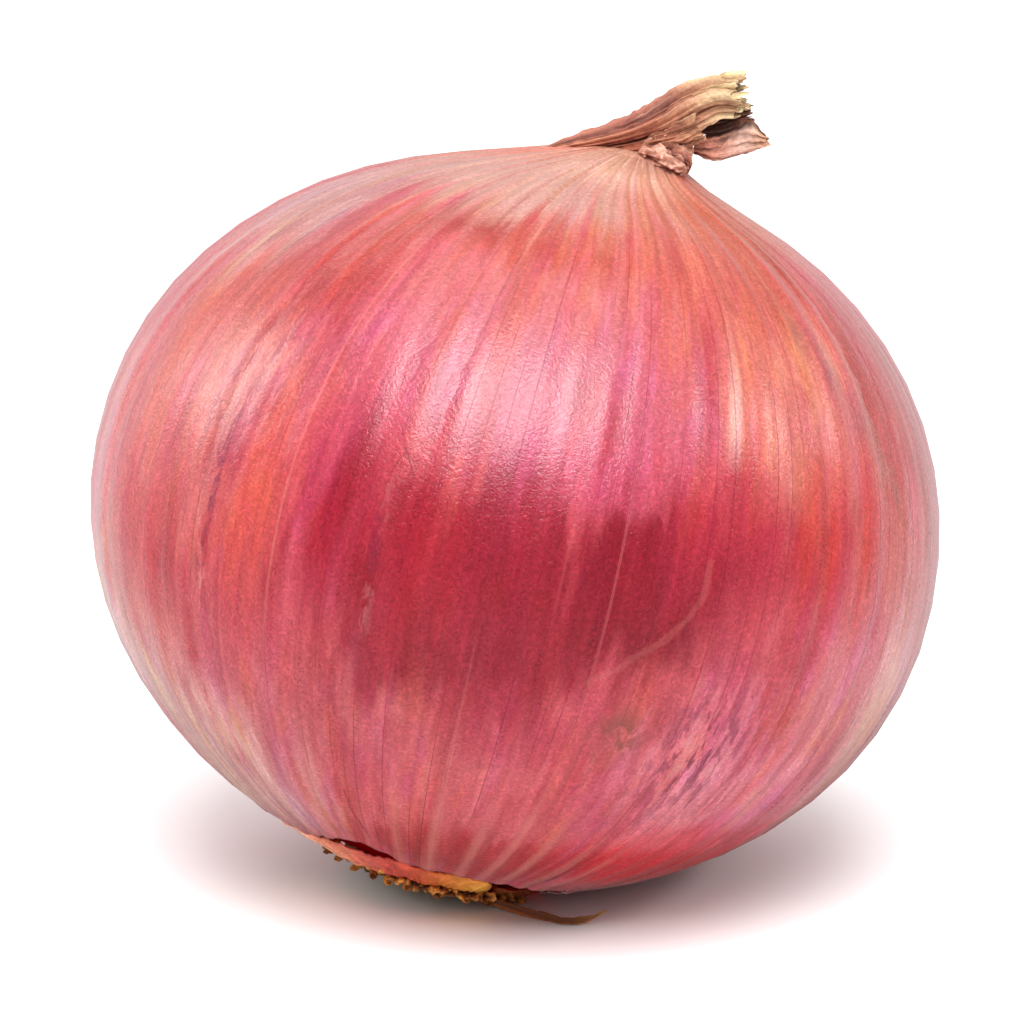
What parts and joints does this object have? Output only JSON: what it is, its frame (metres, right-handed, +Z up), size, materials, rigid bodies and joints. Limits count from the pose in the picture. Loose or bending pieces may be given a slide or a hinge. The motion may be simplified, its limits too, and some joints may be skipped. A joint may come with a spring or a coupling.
{
  "type": "red onion",
  "caption": "Whole red onion at rest, leaning on a flattened spot, with papery outer skin torn open round the root end, withered rootlets and a dried twisted neck.",
  "frame": {"origin": "on the surface it rests on, at the middle of the onion's bounding box in plan", "axes": "+Z up; +X towards the side that the withered neck points to; -Y towards the torn skin and the lifted side of the root plate"},
  "size_m": [0.0798, 0.0798, 0.0762],
  "materials": {
    "skin": "thin papery red skin with a satin pearly sheen, fine veins from root to neck and orange patches",
    "flesh": "smooth moist dark red scale under the skin",
    "torn_skin": "dry torn skin, tan to orange with pink areas, matte",
    "neck_leaf": "withered leaf sheath, matte, brown-red to salmon with pale fibres",
    "neck_end": "dry frayed leaf end, pale tan fibres",
    "root": "corky tan root plate and brittle rootlets, rough"
  },
  "bodies": {
    "root": {"outer_skin": "skin", "bulb": "flesh", "root_plate": "root", "root_collar": "torn_skin", "root_sliver": "torn_skin", "skin_shred": "torn_skin", "neck_inner_leaf": "neck_end", "neck_sheath": "neck_leaf", "neck_side_fold": "neck_leaf", "neck_knot": "neck_leaf", "neck_flap": "neck_leaf", "root_stub_01": "root", "root_stub_02": "root", "root_stub_03": "root", "root_stub_04": "root", "root_stub_05": "root", "root_stub_06": "root", "root_stub_07": "root", "root_stub_08": "root", "root_stub_09": "root", "root_stub_10": "root", "root_stub_11": "root", "root_stub_12": "root", "root_stub_13": "root", "root_stub_14": "root", "root_stub_15": "root", "root_stub_16": "root"}
  },
  "joints": []
}
